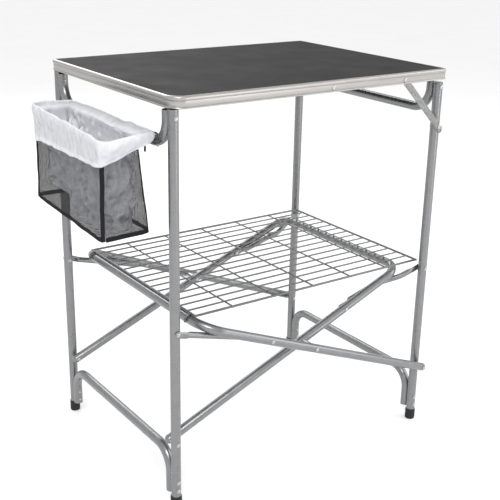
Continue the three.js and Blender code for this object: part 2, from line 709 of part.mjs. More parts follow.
// The thrown-away film bag inside the net, folded over the rim as a cuff on its three free sides.
function bagLiner() {
  const film = 1.2;
  const rimTop = BAG_TOP_Z + 9;
  const rimUnder = rimTop - film;
  const inside = NET_WALL + 0.6;
  const cuff = -2.6;
  const overrun = 5;
  const shell = bagBox(inside, BAG_BOTTOM_Z + NET_WALL + 1, rimTop);
  const hollow = bagBox(inside + film, BAG_BOTTOM_Z + NET_WALL + 1 + film, rimTop + overrun);
  const skirt = bagBox(cuff, CUFF_BOTTOM_Z, rimTop);
  const skirtHollow = bagBox(cuff + film, CUFF_BOTTOM_Z - overrun, rimUnder);
  const freeSide = box(
    [BAG_INNER_X - inside, BAG_FRONT_Y - 20, CUFF_BOTTOM_Z - overrun],
    [BAG_INNER_X + 20, BAG_BACK_Y + 20, rimTop + overrun],
  );
  const folded = skirt.subtract(skirtHollow).subtract(freeSide);
  return folded.add(shell).subtract(hollow);
}

// A bent hook that hangs the net on the left upper brace.
function bagHook(y) {
  const wireRadius = 2;
  const wrap = LEG_RADIUS + 0.6 + wireRadius;
  const at = (x, z) => new THREE.Vector3(x, y, z);
  const over = [];
  const arcSteps = 8;
  for (let step = 0; step <= arcSteps; step += 1) {
    const angle = THREE.MathUtils.degToRad(180 - (200 * step) / arcSteps);
    over.push(at(-LEG_X + wrap * Math.cos(angle), UPPER_BRACE_Z + wrap * Math.sin(angle)));
  }
  const shank = BAG_INNER_X + wireRadius + 0.3;
  const points = [at(shank, UPPER_BRACE_Z - 18), at(shank, UPPER_BRACE_Z - 6), ...over];
  points.push(at(-LEG_X + wrap - 3, UPPER_BRACE_Z - 12));
  return sweep(roundStations(points, wireRadius), Y_AXIS, 8);
}

// ---------- assembly ----------
add("table_panel", panel(), laminate());
add("edge_trim", trim(), aluminium());
add("trim_joint_rivet", trimRivet(), rivetMetal());

for (const { sx, sy, side, end } of corners) {
  const name = `${side}_${end}`;
  add(`${name}_leg`, leg(sx, sy), coatedTube());
  add(`${name}_foot`, foot(sx, sy), blackRubber());
  add(`${name}_link`, link(sx, sy), coatedTube());
  add(`${name}_link_rivet`, linkRivet(sx, sy), rivetMetal());
  add(`${name}_arm_rivet`, armRivet(sx, sy), rivetMetal());
  add(`${name}_upper_brace_rivet`, braceRivet(sx, sy, UPPER_RIVET_Z), rivetMetal());
  LOWER_RIVETS_Z.forEach((z, i) => {
    add(`${name}_lower_brace_rivet_${i + 1}`, braceRivet(sx, sy, z), rivetMetal());
  });
}

for (const { label, sx } of SIDES) {
  const topEnd = sx > 0 ? RIGHT_LEG_TOP - GAP : UPPER_BRACE_TOP;
  add(`${label}_upper_brace`, brace(sx, topEnd, UPPER_BRACE_Z, [UPPER_RIVET_Z]), coatedTube());
  add(`${label}_lower_brace`, brace(sx, LOWER_BRACE_END, LOWER_BRACE_Z, LOWER_RIVETS_Z), coatedTube());
}

for (const { label, sy } of ENDS) {
  add(`${label}_cross_rivet`, crossRivet(sy), rivetMetal());
  add(`${label}_hinge_cap`, hingeCap(sy), zincPlate());
  add(`${label}_hinge_bracket`, hingeBracket(sy), zincPlate());
  add(`${label}_hinge_pin`, hingePin(sy), rivetMetal());
  add(`${label}_strut`, strut(sy), zincPlate());
  add(`${label}_strut_rivet`, strutRivet(sy), rivetMetal());
  add(`${label}_strut_stud`, strutStud(sy), rivetMetal());
}

add("outer_cross_frame", crossFrame(-1, outerArmY, OUTER_BEND), coatedTube());
add("inner_cross_frame", crossFrame(1, innerArmY, INNER_BEND), coatedTube());
add("wire_rack", rack(), rackWire());
add("bag_net", bagNet(), blackMesh());
add("bag_liner", bagLiner(), whiteFilm());
HOOK_POSITIONS_Y.forEach((y, i) => add(`bag_hook_${ENDS[i].label}`, bagHook(y), blackRubber()));

const part = new THREE.Group();
table.position.x = ORIGIN_SHIFT;
part.add(table);

export default part;
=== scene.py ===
"""Looks of the folding camp kitchen table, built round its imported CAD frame.

Shapes are worked out in millimetres from the middle of the table top, like the CAD part, and turned into
metres in the part's own frame when a mesh is made.
"""

import json
import math
from collections import namedtuple
import bmesh
import bpy
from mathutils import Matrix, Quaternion, Vector, noise

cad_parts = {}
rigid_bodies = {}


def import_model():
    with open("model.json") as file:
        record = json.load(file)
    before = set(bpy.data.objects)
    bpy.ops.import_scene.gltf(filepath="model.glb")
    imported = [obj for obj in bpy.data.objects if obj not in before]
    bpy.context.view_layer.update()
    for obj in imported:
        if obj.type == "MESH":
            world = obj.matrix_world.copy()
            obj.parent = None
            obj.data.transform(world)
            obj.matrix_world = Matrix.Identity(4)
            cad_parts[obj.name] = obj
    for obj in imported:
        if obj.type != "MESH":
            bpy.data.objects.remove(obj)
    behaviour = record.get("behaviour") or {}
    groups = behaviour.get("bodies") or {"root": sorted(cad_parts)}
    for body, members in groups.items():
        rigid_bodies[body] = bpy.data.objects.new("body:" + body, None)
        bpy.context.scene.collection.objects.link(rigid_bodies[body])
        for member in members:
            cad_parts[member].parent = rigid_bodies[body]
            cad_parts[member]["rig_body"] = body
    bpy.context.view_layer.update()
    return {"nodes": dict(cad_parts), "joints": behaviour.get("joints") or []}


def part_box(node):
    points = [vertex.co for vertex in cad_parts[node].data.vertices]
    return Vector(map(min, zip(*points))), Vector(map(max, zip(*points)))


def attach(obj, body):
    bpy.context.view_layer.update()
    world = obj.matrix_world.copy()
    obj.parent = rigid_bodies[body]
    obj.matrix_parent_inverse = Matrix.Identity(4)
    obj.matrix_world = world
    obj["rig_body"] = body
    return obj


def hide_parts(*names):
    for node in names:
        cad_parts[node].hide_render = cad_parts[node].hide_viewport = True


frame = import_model()

# ---------- driving dimensions, in millimetres ----------
MM = 0.001
JOINTS = {joint["name"]: Vector(joint["pos_m"]) for joint in frame["joints"]}
NODES = frame["nodes"]
trim_low, trim_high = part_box("edge_trim")
CENTRE_X = (trim_low.x + trim_high.x) / 2  # metres: where the middle of the top is in the part's frame

TABLE_LENGTH = 640
TABLE_DEPTH = 480
TABLE_HEIGHT = 800
CORNER_RADIUS = 27  # the front left corner of the top
TIGHT_CORNER_RADIUS = 8  # its other corners
TRIM_HEIGHT = 22
TRIM_WALL = 1.3

LEG_RADIUS = 9.5
TUBE_WALL = 1.2
LEG_X = (JOINTS["right_leg_pivot"].x - CENTRE_X) / MM
LEG_Y = 226.5
LEG_BOTTOM = 4.4
RIGHT_LEG_TOP = 768.5
LEFT_BRACE_TOP = 774
FOOT_HEIGHT = 24

CROSS_RADIUS = 9
ARM_LAYER = 22
ARM_PIVOT_Z = JOINTS["right_leg_pivot"].z / MM
BAR_X = (CENTRE_X - JOINTS["rack_level"].x) / MM
BAR_Z = JOINTS["rack_level"].z / MM
OUTER_BEND = 50
INNER_BEND = 35
COLLAR_RADIUS = 6

BRACE_Y = LEG_Y - 19.3
BRACE_BEND = 45
UPPER_BRACE_Z = JOINTS["bag_swing"].z / MM
LOWER_BRACE_Z = 112
LOWER_BRACE_END = 27

LINK_Z = JOINTS["left_link_swing"].z / MM
LINK_END_X = 111
LINK_END_Z = ARM_PIVOT_Z + (BAR_Z - ARM_PIVOT_Z) * (LEG_X + LINK_END_X) / (LEG_X + BAR_X)
LINK_RADIUS = 6
LINK_FLAT = 1.25  # half the thickness of its flattened ends
LINK_FLAT_RUN = 17  # from a pivot, how far the flattened end reaches
LINK_TUBE_START = 30  # from a pivot, where the round tube starts
LINK_DIP = 3.5  # how far a right link sags below the inner frame's bend

RACK_LEFT = -260
RACK_RIGHT = 304
RACK_HALF_DEPTH = 212
RIM_WIRE = 2.3
GRID_WIRE = 1.7

STRUT_X = (JOINTS["front_stay_swing"].x - CENTRE_X) / MM
STRUT_Z = JOINTS["front_stay_swing"].z / MM
STUD_Z = 680
STRUT_THICKNESS = 2

RIVET_HEAD = 4.2
RIVET_SHAFT = 2.5
HEAD_THICKNESS = 1.6
HEAD_DOME = 0.75 * HEAD_THICKNESS  # how far a head's crown stands over its rim
GAP = 0.4  # running clearance between pieces that turn on each other

OUTER_ARM_Y = LEG_Y + ARM_LAYER
INNER_ARM_Y = LEG_Y - ARM_LAYER
LEG_OUTER_FACE = LEG_Y + LEG_RADIUS
LEG_INNER_FACE = LEG_Y - LEG_RADIUS

X_AXIS = Vector((1, 0, 0))
Y_AXIS = Vector((0, 1, 0))
Z_AXIS = Vector((0, 0, 1))
SHARP_ANGLE = math.radians(38)  # edges that turn more than this stay sharp
SIDES = {"left": -1, "right": 1}
ENDS = {"front": -1, "rear": 1}


# ---------- material helpers ----------
Surface = namedtuple("Surface", "material tree principled")


def new_surface(name, color, roughness, metallic=0.0, specular=0.5):
    material = bpy.data.materials.new(name)
    material.use_nodes = True
    principled = material.node_tree.nodes["Principled BSDF"]
    principled.inputs["Base Color"].default_value = (*color, 1)
    principled.inputs["Roughness"].default_value = roughness
    principled.inputs["Metallic"].default_value = metallic
    principled.inputs["Specular IOR Level"].default_value = specular
    return Surface(material, material.node_tree, principled)


def grain(tree, scale, detail=4.0, stretch=(1, 1, 1)):
    """A noise pattern in the object's own metres; a large scale makes it finer."""
    coordinates = tree.nodes.new("ShaderNodeTexCoord")
    mapping = tree.nodes.new("ShaderNodeMapping")
    mapping.inputs["Scale"].default_value = stretch
    texture = tree.nodes.new("ShaderNodeTexNoise")
    texture.inputs["Scale"].default_value = scale
    texture.inputs["Detail"].default_value = detail
    tree.links.new(coordinates.outputs["Object"], mapping.inputs["Vector"])
    tree.links.new(mapping.outputs["Vector"], texture.inputs["Vector"])
    return texture.outputs["Fac"]


def spread(tree, pattern, low, high):
    """The pattern's middle part stretched between two values."""
    ramp = tree.nodes.new("ShaderNodeMapRange")
    ramp.inputs["From Min"].default_value = 0.3
    ramp.inputs["From Max"].default_value = 0.7
    ramp.inputs["To Min"].default_value = low
    ramp.inputs["To Max"].default_value = high
    tree.links.new(pattern, ramp.inputs["Value"])
    return ramp.outputs["Result"]


def between(tree, factor, first, second):
    """A colour that runs from the first to the second with the factor."""
    mix = tree.nodes.new("ShaderNodeMix")
    mix.data_type = "RGBA"
    mix.inputs["A"].default_value = (*first, 1)
    mix.inputs["B"].default_value = (*second, 1)
    tree.links.new(factor, mix.inputs["Factor"])
    return mix.outputs["Result"]


def raised(surface, pattern, distance, strength):
    """Bumps on a surface; the distance is in metres."""
    bump = surface.tree.nodes.new("ShaderNodeBump")
    bump.inputs["Distance"].default_value = distance
    bump.inputs["Strength"].default_value = strength
    surface.tree.links.new(pattern, bump.inputs["Height"])
    surface.tree.links.new(bump.outputs["Normal"], surface.principled.inputs["Normal"])


def shade(color, factor):
    return tuple(channel * factor for channel in color)


def patterned(surface, color, pattern, contrast, rough_low, rough_high):
    """Lets one pattern vary both the colour and the roughness of a surface."""
    material, tree, principled = surface
    factor = spread(tree, pattern, 0, 1)
    tone = between(tree, factor, shade(color, 1 - contrast), shade(color, 1 + contrast))
    tree.links.new(tone, principled.inputs["Base Color"])
    tree.links.new(spread(tree, pattern, rough_low, rough_high), principled.inputs["Roughness"])
    return material


# ---------- materials ----------
def laminate():
    color = (0.022, 0.022, 0.0225)
    surface = new_surface("laminate", color, 0.6, specular=0.045)
    raised(surface, grain(surface.tree, 900), 0.00015, 0.35)
    return patterned(surface, color, grain(surface.tree, 14), 0.04, 0.56, 0.66)


def edge_aluminium():
    color = (0.395, 0.384, 0.368)
    surface = new_surface("edge_aluminium", color, 0.3, 1.0)
    raised(surface, grain(surface.tree, 500, stretch=(0.15, 0.15, 3)), 0.0001, 0.25)
    return patterned(surface, color, grain(surface.tree, 90, stretch=(0.3, 0.3, 2)), 0.05, 0.3, 0.4)


def coated_tube():
    color = (0.222, 0.224, 0.229)
    surface = new_surface("coated_tube", color, 0.36, 0.75)
    raised(surface, grain(surface.tree, 1200), 0.0001, 0.1)
    return patterned(surface, color, grain(surface.tree, 60), 0.05, 0.24, 0.34)


def zinc_plate():
    """Zinc spangles: flat crystals of slightly different brightness."""
    color = (0.25, 0.254, 0.243)
    surface = new_surface("zinc_plate", color, 0.4, 0.85)
    tree = surface.tree
    coordinates = tree.nodes.new("ShaderNodeTexCoord")
    crystals = tree.nodes.new("ShaderNodeTexVoronoi")
    crystals.inputs["Scale"].default_value = 260
    tree.links.new(coordinates.outputs["Object"], crystals.inputs["Vector"])
    grey = tree.nodes.new("ShaderNodeRGBToBW")
    tree.links.new(crystals.outputs["Color"], grey.inputs["Color"])
    raised(surface, grain(tree, 700), 0.0001, 0.3)
    return patterned(surface, color, grey.outputs["Val"], 0.12, 0.34, 0.5)


def rivet_metal():
    color = (0.42, 0.42, 0.42)
    surface = new_surface("rivet", color, 0.28, 1.0)
    return patterned(surface, color, grain(surface.tree, 700), 0.08, 0.22, 0.4)


def rack_wire_metal():
    color = (0.17, 0.17, 0.172)
    surface = new_surface("rack_wire", color, 0.36, 0.85)
    raised(surface, grain(surface.tree, 900), 0.0001, 0.3)
    return patterned(surface, color, grain(surface.tree, 120), 0.1, 0.3, 0.46)


def rubber():
    color = (0.018, 0.018, 0.018)
    surface = new_surface("rubber_foot", color, 0.7, specular=0.25)
    raised(surface, grain(surface.tree, 700), 0.0002, 0.5)
    return patterned(surface, color, grain(surface.tree, 150), 0.2, 0.6, 0.8)


def black_plastic():
    color = (0.022, 0.022, 0.023)
    surface = new_surface("black_plastic", color, 0.45)
    raised(surface, grain(surface.tree, 1100), 0.0001, 0.4)
    return patterned(surface, color, grain(surface.tree, 90), 0.15, 0.38, 0.55)


def binding_tape():
    """Woven tape: fine ribs across it."""
    color = (0.013, 0.013, 0.014)
    surface = new_surface("binding_tape", color, 0.85, specular=0.12)
    tree = surface.tree
    coordinates = tree.nodes.new("ShaderNodeTexCoord")
    ribs = tree.nodes.new("ShaderNodeTexWave")
    ribs.bands_direction = "DIAGONAL"
    ribs.inputs["Scale"].default_value = 330
    ribs.inputs["Distortion"].default_value = 0.6
    tree.links.new(coordinates.outputs["Object"], ribs.inputs["Vector"])
    raised(surface, ribs.outputs["Fac"], 0.0004, 0.6)
    return patterned(surface, color, grain(tree, 300), 0.2, 0.8, 0.95)


def bag_mesh():
    """See-through net: threads run both ways along the cloth's own UV grid, one cell per unit."""
    color = (0.022, 0.022, 0.024)
    surface = new_surface("bag_mesh", color, 0.85, specular=0.1)
    tree = surface.tree
    cloth = tree.nodes.new("ShaderNodeUVMap")
    cloth.uv_map = "cloth"
    split = tree.nodes.new("ShaderNodeSeparateXYZ")
    tree.links.new(cloth.outputs["UV"], split.inputs["Vector"])
    thread_share = 0.4

    def math_node(operation, first, second=None):
        node = tree.nodes.new("ShaderNodeMath")
        node.operation = operation
        for socket, value in zip(node.inputs, (first, second)):
            if value is None:
                continue
            if isinstance(value, float):
                socket.default_value = value
            else:
                tree.links.new(value, socket)
        return node.outputs["Value"]

    along = math_node("LESS_THAN", math_node("FRACT", split.outputs["X"]), thread_share)
    across = math_node("LESS_THAN", math_node("FRACT", split.outputs["Y"]), thread_share)
    threads = math_node("MAXIMUM", along, across)
    rays = tree.nodes.new("ShaderNodeLightPath")
    soft_rays = math_node("MAXIMUM", rays.outputs["Is Shadow Ray"], rays.outputs["Is Diffuse Ray"])
    unseen = math_node("MULTIPLY", soft_rays, 0.7)  # thin threads cast little shade
    kept = math_node("SUBTRACT", 1.0, unseen)
    tree.links.new(math_node("MULTIPLY", threads, kept), surface.principled.inputs["Alpha"])
    raised(surface, threads, 0.0003, 0.5)
    return patterned(surface, color, grain(tree, 400), 0.2, 0.75, 0.95)


def bag_film():
    """Thin white plastic film: part of the light passes straight through, part is scattered."""
    color = (0.955, 0.96, 0.995)
    surface = new_surface("bag_film", color, 0.3)
    material, tree, principled = surface
    creases = grain(tree, 55, 6)
    raised(surface, creases, 0.004, 0.7)
    # painted shade: the film's colour, and that of the light it lets through, darkens to half its white in
    # hollows and creases, found from the mesh's pointiness
    folds = tree.nodes.new("ShaderNodeNewGeometry").outputs["Pointiness"]
    crease_shade = tree.nodes.new("ShaderNodeMapRange")
    crease_shade.inputs["From Min"].default_value = 0.44
    crease_shade.inputs["From Max"].default_value = 0.525
    tree.links.new(folds, crease_shade.inputs["Value"])
    tone = between(tree, crease_shade.outputs["Result"], shade(color, 0.5), color)
    tree.links.new(tone, principled.inputs["Base Color"])
    tree.links.new(spread(tree, creases, 0.24, 0.4), principled.inputs["Roughness"])
    glow = tree.nodes.new("ShaderNodeBsdfTranslucent")
    tree.links.new(tone, glow.inputs["Color"])
    clear = tree.nodes.new("ShaderNodeBsdfTransparent")
    scattered = tree.nodes.new("ShaderNodeMixShader")
    scattered.inputs["Fac"].default_value = 0.38
    film = tree.nodes.new("ShaderNodeMixShader")
    tree.links.new(spread(tree, creases, 0.7, 0.9), film.inputs["Fac"])
    output = tree.nodes["Material Output"]
    tree.links.new(principled.outputs["BSDF"], scattered.inputs[1])
    tree.links.new(glow.outputs["BSDF"], scattered.inputs[2])
    tree.links.new(clear.outputs["BSDF"], film.inputs[1])
    tree.links.new(scattered.outputs["Shader"], film.inputs[2])
    tree.links.new(film.outputs["Shader"], output.inputs["Surface"])
    return material


MATERIALS = {
    "laminate": laminate(),
    "edge_aluminium": edge_aluminium(),
    "coated_tube": coated_tube(),
    "zinc_plate": zinc_plate(),
    "rivet": rivet_metal(),
    "rack_wire": rack_wire_metal(),
    "rubber_foot": rubber(),
    "black_plastic": black_plastic(),
    "bag_mesh": bag_mesh(),
    "bag_film": bag_film(),
}
TAPE = binding_tape()


# ---------- mesh helpers ----------
def piece(name, vertices, faces, slot, body, stands_for=(), material=None, closed=True):
    """Makes one visible piece: a smooth-shaded mesh in metres that rides on a body."""
    mesh = bpy.data.meshes.new(name)
    placed = [(x * MM + CENTRE_X, y * MM, z * MM) for x, y, z in vertices]
    mesh.from_pydata(placed, [], faces)
    if closed:
        shape = bmesh.new()
        shape.from_mesh(mesh)
        bmesh.ops.recalc_face_normals(shape, faces=shape.faces)
        shape.to_mesh(mesh)
        shape.free()
    mesh.shade_smooth()
    mesh.set_sharp_from_angle(angle=SHARP_ANGLE)
    made = bpy.data.objects.new(name, mesh)
    bpy.context.scene.collection.objects.link(made)
    mesh.materials.append(material or MATERIALS[slot])
    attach(made, body)
    if stands_for:
        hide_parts(*stands_for)
    return made


def stand_in(node, vertices, faces, slot):
    """A piece that is shown in place of one CAD node."""
    return piece(f"{node}_look", vertices, faces, slot, NODES[node]["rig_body"], [node])


def box_of(node):
    """A CAD node's box in millimetres from the middle of the table top."""
    low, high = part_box(node)
    shift = Vector((CENTRE_X, 0, 0))
    return (low - shift) / MM, (high - shift) / MM


def bent_path(corners, radius, steps=14):
    """Points of a polyline whose inner corners are replaced by arcs."""
    points = [corners[0]]
    for i in range(1, len(corners) - 1):
        back = (corners[i - 1] - corners[i]).normalized()
        ahead = (corners[i + 1] - corners[i]).normalized()
        half_angle = back.angle(ahead) / 2
        setback = radius / math.tan(half_angle)
        centre = corners[i] + (back + ahead).normalized() * (radius / math.sin(half_angle))
        start = corners[i] + back * setback - centre
        end = corners[i] + ahead * setback - centre
        axis = start.cross(end).normalized()
        for step in range(steps + 1):
            turn = Quaternion(axis, start.angle(end) * step / steps)
            points.append(centre + turn @ start)
    points.append(corners[-1])
    return points


def rings_along(stations, normal, sides):
    """One ellipse of points per station: centre, half width in the plane, half thickness across it."""
    rings = []
    last = len(stations) - 1
    for i, (at, width, thickness) in enumerate(stations):
        incoming = (at - stations[i - 1][0] if i else stations[1][0] - at).normalized()
        outgoing = (stations[i + 1][0] - at if i < last else at - stations[i - 1][0]).normalized()
        tangent = (incoming + outgoing).normalized()
        side = tangent.cross(normal).normalized()
        miter = 1 / max(tangent.dot(incoming), 0.5)
        ring = []
        for k in range(sides):
            angle = 2 * math.pi * (k + 0.5) / sides
            across = normal * (thickness * math.cos(angle))
            ring.append(at + across + side * (width * miter * math.sin(angle)))
        rings.append(ring)
    return rings


def skin(rings, loop=False):
    """Faces between rings of equal size; the ends are capped unless the rings form a loop."""
    sides = len(rings[0])
    vertices = [tuple(point) for ring in rings for point in ring]
    count = len(rings)
    faces = []
    for i in range(count if loop else count - 1):
        j = (i + 1) % count
        for k in range(sides):
            n = (k + 1) % sides
            faces.append((i * sides + k, i * sides + n, j * sides + n, j * sides + k))
    if not loop:
        faces.append(tuple(range(sides)))
        faces.append(tuple((count - 1) * sides + k for k in range(sides)))
    return vertices, faces


def round_stations(points, radius):
    return [(point, radius, radius) for point in points]


def open_tube(points, radius, normal, sides=40):
    """A bent tube with a real wall and open ends."""
    outside = rings_along(round_stations(points, radius), normal, sides)
    inside = rings_along(round_stations(points, radius - TUBE_WALL), normal, sides)
    return skin(outside + inside[::-1], loop=True)


def domed_rod(points, radius, normal, sides=40, steps=6):
    """A bent rod or tube with rounded, closed ends."""
    start_out = (points[0] - points[1]).normalized()
    end_out = (points[-1] - points[-2]).normalized()

    def dome(end, outward, i):
        angle = math.radians(88) * i / steps
        reach = radius * math.sin(angle)
        return end + outward * reach, radius * math.cos(angle), radius * math.cos(angle)

    stations = [dome(points[0], start_out, i) for i in range(steps, 0, -1)]
    stations += round_stations(points, radius)
    stations += [dome(points[-1], end_out, i) for i in range(1, steps + 1)]
    return skin(rings_along(stations, normal, sides))


def joined(shapes):
    """Several (vertices, faces) shapes as one."""
    vertices = []
    faces = []
    for more_vertices, more_faces in shapes:
        base = len(vertices)
        vertices += more_vertices
        faces += [tuple(base + index for index in face) for face in more_faces]
    return vertices, faces


def turned(profile, centre, axis, sides=32):
    """A solid of revolution. Its profile lists (radius, distance along the axis), from pole to pole."""
    side = axis.orthogonal().normalized()
    other = axis.cross(side)
    vertices = []
    faces = []
    inner = profile[1:-1]
    for radius, distance in inner:
        for k in range(sides):
            angle = 2 * math.pi * k / sides
            out = side * math.cos(angle) + other * math.sin(angle)
            vertices.append(tuple(centre + axis * distance + out * radius))
    for i in range(len(inner) - 1):
        for k in range(sides):
            n = (k + 1) % sides
            faces.append((i * sides + k, i * sides + n, (i + 1) * sides + n, (i + 1) * sides + k))
    for end, ring in ((profile[0], 0), (profile[-1], len(inner) - 1)):
        vertices.append(tuple(centre + axis * end[1]))
        pole = len(vertices) - 1
        for k in range(sides):
            faces.append((ring * sides + k, ring * sides + (k + 1) % sides, pole))
    return vertices, faces


def arc(centre_u, centre_v, radius, start, end, steps):
    """Points of an arc in a flat section; the angles are in degrees."""
    points = []
    for i in range(steps + 1):
        angle = math.radians(start + (end - start) * i / steps)
        points.append((centre_u + radius * math.cos(angle), centre_v + radius * math.sin(angle)))
    return points


def smooth(share):
    share = min(max(share, 0), 1)
    return share * share * (3 - 2 * share)


# ---------- table top ----------
def top_outline(inset, steps=16):
    """Points round the top's outline moved inwards by the inset, each with its outward direction."""
    points = []
    quarters = (
        (1, 1, TIGHT_CORNER_RADIUS),
        (-1, 1, TIGHT_CORNER_RADIUS),
        (-1, -1, CORNER_RADIUS),
        (1, -1, TIGHT_CORNER_RADIUS),
    )
    for quarter, (sx, sy, corner) in enumerate(quarters):
        for step in range(steps + 1):
            angle = (quarter + step / steps) * math.pi / 2
            out = Vector((math.cos(angle), math.sin(angle)))
            x = sx * (TABLE_LENGTH / 2 - corner) + (corner - inset) * out.x
            y = sy * (TABLE_DEPTH / 2 - corner) + (corner - inset) * out.y
            points.append((x, y, out))
    return points


def panel():
    """A sheet whose edge sits in the trim and whose worktop stands a little above that edge."""
    under = 794.4
    edge_top = 798.4
    top = 799.2
    edge_inset = 1.7
    top_inset = 3.8
    # Each level is (inset, height); the first and the last step are small bevels.
    levels = [(edge_inset + 0.7, under), (edge_inset, under + 0.6), (edge_inset, edge_top)]
    levels += [(top_inset, edge_top), (top_inset, top - 0.2), (top_inset + 0.2, top)]
    rings = [[(x, y, z) for x, y, _ in top_outline(inset)] for inset, z in levels]
    stand_in("table_panel", *skin(rings), "laminate")


def trim_section():
    """The extrusion's section as (offset outwards, height above its lower edge)."""
    points = [(-TRIM_WALL, 0)]
    points += arc(0.2, 1.5, 1.4, -90, 75, 9)  # lower bead
    points += [(0.15, 3.3), (-0.1, 3.6), (-0.1, 3.9), (0.1, 4.2)]
    points += [(0.15, 13.2), (-0.15, 13.5), (-0.15, 14), (0.15, 14.3)]
    points += [(0.9, 15.0), (1.3, 15.8), (1.4, 17.0)]
    points += arc(-1.1, 18.6, 2.5, -10, 60, 8)  # the rounded upper bead
    points += [(-0.6, 21.2), (-1.4, 21.7), (-2.2, 21.95), (-2.8, 22)]
    points += arc(-3.0, 21.7, 0.3, 90, 180, 3)
    points += [(-3.3, 20.9), (-TRIM_WALL, 20.9), (-TRIM_WALL, 16), (-5, 16), (-5, 15), (-TRIM_WALL, 15)]
    return points


def trim():
    """The extrusion swept round the top."""
    bottom = TABLE_HEIGHT - TRIM_HEIGHT
    section = trim_section()
    rings = []
    for x, y, out in top_outline(0):
        rings.append([(x + out.x * offset, y + out.y * offset, bottom + z) for offset, z in section])
    stand_in("edge_trim", *skin(rings, loop=True), "edge_aluminium")


def strut_outline():
    """The stay's outline: (along it from its rivet, upwards across it)."""
    length = math.hypot(LEG_X - STRUT_X, STRUT_Z - STUD_Z)
    half = 7.1
    tail = 13
    seat = 3.5
    points = arc(0, 0, half, 90, 270, 20)
    points += arc(length + tail - 4, -half + 4, 4, -90, 0, 6)
    points += arc(length + tail - 1, 0, 1, 0, 60, 3)
    points += [(length + seat + 1, half)]
    points += arc(length, 0, seat, 10, -180, 14)
    points += [(length - seat - 9, half)]
    return points


def strut(node, sy):
    """A stamped plate that slopes from its rivet under the top to the stud on a right leg."""
    slope = math.atan2(STRUT_Z - STUD_Z, LEG_X - STRUT_X)
    face_in = sy * (TABLE_DEPTH / 2 - TRIM_WALL - GAP - STRUT_THICKNESS)
    rings = []
    for y in (face_in, face_in + sy * STRUT_THICKNESS):
        ring = []
        for u, v in strut_outline():
            x = STRUT_X + u * math.cos(slope) + v * math.sin(slope)
            z = STRUT_Z - u * math.sin(slope) + v * math.cos(slope)
            ring.append((x, y, z))
        rings.append(ring)
    made = stand_in(node, *skin(rings), "zinc_plate")
    edge = made.modifiers.new("stamped edge", "BEVEL")
    edge.width = 0.3 * MM
    edge.segments = 2


# ---------- rivets ----------
def rivet_head():
    """A domed head from its pole to the start of the shaft, as (radius, distance from the pole)."""
    steps = 6
    points = []
    for i in range(steps + 1):
        angle = math.radians(90 * i / steps)
        points.append((RIVET_HEAD * math.sin(angle), HEAD_DOME * (1 - math.cos(angle))))
    return points + [(RIVET_HEAD, HEAD_THICKNESS), (RIVET_SHAFT, HEAD_THICKNESS)]


def blind_profile(length):
    """One domed head; the other end is a small set shaft."""
    end = length - HEAD_THICKNESS + 0.1
    return rivet_head() + [(RIVET_SHAFT, end), (1.8, end + 0.4), (0, end + 0.4)]


def blind_rivet(node, sy):
    """A rivet set from the outer side of the frame."""
    low, high = box_of(node)
    outer = low.y if sy < 0 else high.y
    centre = Vector(((low.x + high.x) / 2, outer, (low.z + high.z) / 2))
    stand_in(node, *turned(blind_profile(high.y - low.y), centre, Y_AXIS * -sy), "rivet")


def rivet_profile(length, collar=None):
    """Two domed heads on a shaft, with an optional collar (from, to) on it."""
    profile = rivet_head()
    if collar:
        start, end = collar
        profile += [(RIVET_SHAFT, start), (COLLAR_RADIUS, start), (COLLAR_RADIUS, end), (RIVET_SHAFT, end)]
    profile += [(radius, length - distance) for radius, distance in reversed(rivet_head())]
    return profile


def rivet(node, collar=None):
    low, high = box_of(node)
    centre = Vector(((low.x + high.x) / 2, low.y, (low.z + high.z) / 2))
    if collar:
        collar = sorted(y - low.y for y in collar)
    stand_in(node, *turned(rivet_profile(high.y - low.y, collar), centre, Y_AXIS), "rivet")


def arm_rivet(node, sx, sy):
    """The left legs carry the inner frame's arms, the right legs the outer frame's."""
    if sx > 0:
        faces = (LEG_OUTER_FACE + GAP, OUTER_ARM_Y - CROSS_RADIUS - GAP)
    else:
        faces = (INNER_ARM_Y + CROSS_RADIUS + GAP, LEG_INNER_FACE - GAP)
    rivet(node, [sy * y for y in faces])


def cross_rivet(node, sy):
    faces = (INNER_ARM_Y + CROSS_RADIUS + GAP, OUTER_ARM_Y - CROSS_RADIUS - GAP)
    rivet(node, [sy * y for y in faces])


# ---------- side frames ----------
def leg(node, sx, sy):
    """A straight tube that stands in its rubber foot."""
    top = box_of(node)[1].z
    points = [Vector((sx * LEG_X, sy * LEG_Y, z)) for z in (LEG_BOTTOM, top)]
    stand_in(node, *open_tube(points, LEG_RADIUS, X_AXIS), "coated_tube")


def foot(node, sx, sy):
    """A rubber cap with three soft ribs round it."""
    bore = LEG_RADIUS + 0.25
    profile = [(0, 0)] + arc(9.2, 1.4, 1.4, -90, 0, 5)
    ribs = 3
    rib_height = (FOOT_HEIGHT - 4) / ribs
    for i in range(ribs):
        base = 2.2 + i * rib_height
        for step in range(9):
            share = step / 8
            profile.append((10.35 + 0.75 * math.sin(math.pi * share) ** 0.7, base + rib_height * share))
    profile += arc(10.2, FOOT_HEIGHT - 0.6, 0.6, 0, 90, 4)
    profile += [(bore, FOOT_HEIGHT), (bore, LEG_BOTTOM - GAP), (0, LEG_BOTTOM - GAP)]
    centre = Vector((sx * LEG_X, sy * LEG_Y, 0))
    stand_in(node, *turned(profile, centre, Z_AXIS, 40), "rubber_foot")


def brace(node, sx, end_z, span_z):
    """A tube across a side frame, its two ends bent up or down to lie along the legs."""
    corners = [(-BRACE_Y, end_z), (-BRACE_Y, span_z), (BRACE_Y, span_z), (BRACE_Y, end_z)]
    points = bent_path([Vector((sx * LEG_X, y, z)) for y, z in corners], BRACE_BEND)
    stand_in(node, *open_tube(points, LEG_RADIUS, X_AXIS), "coated_tube")


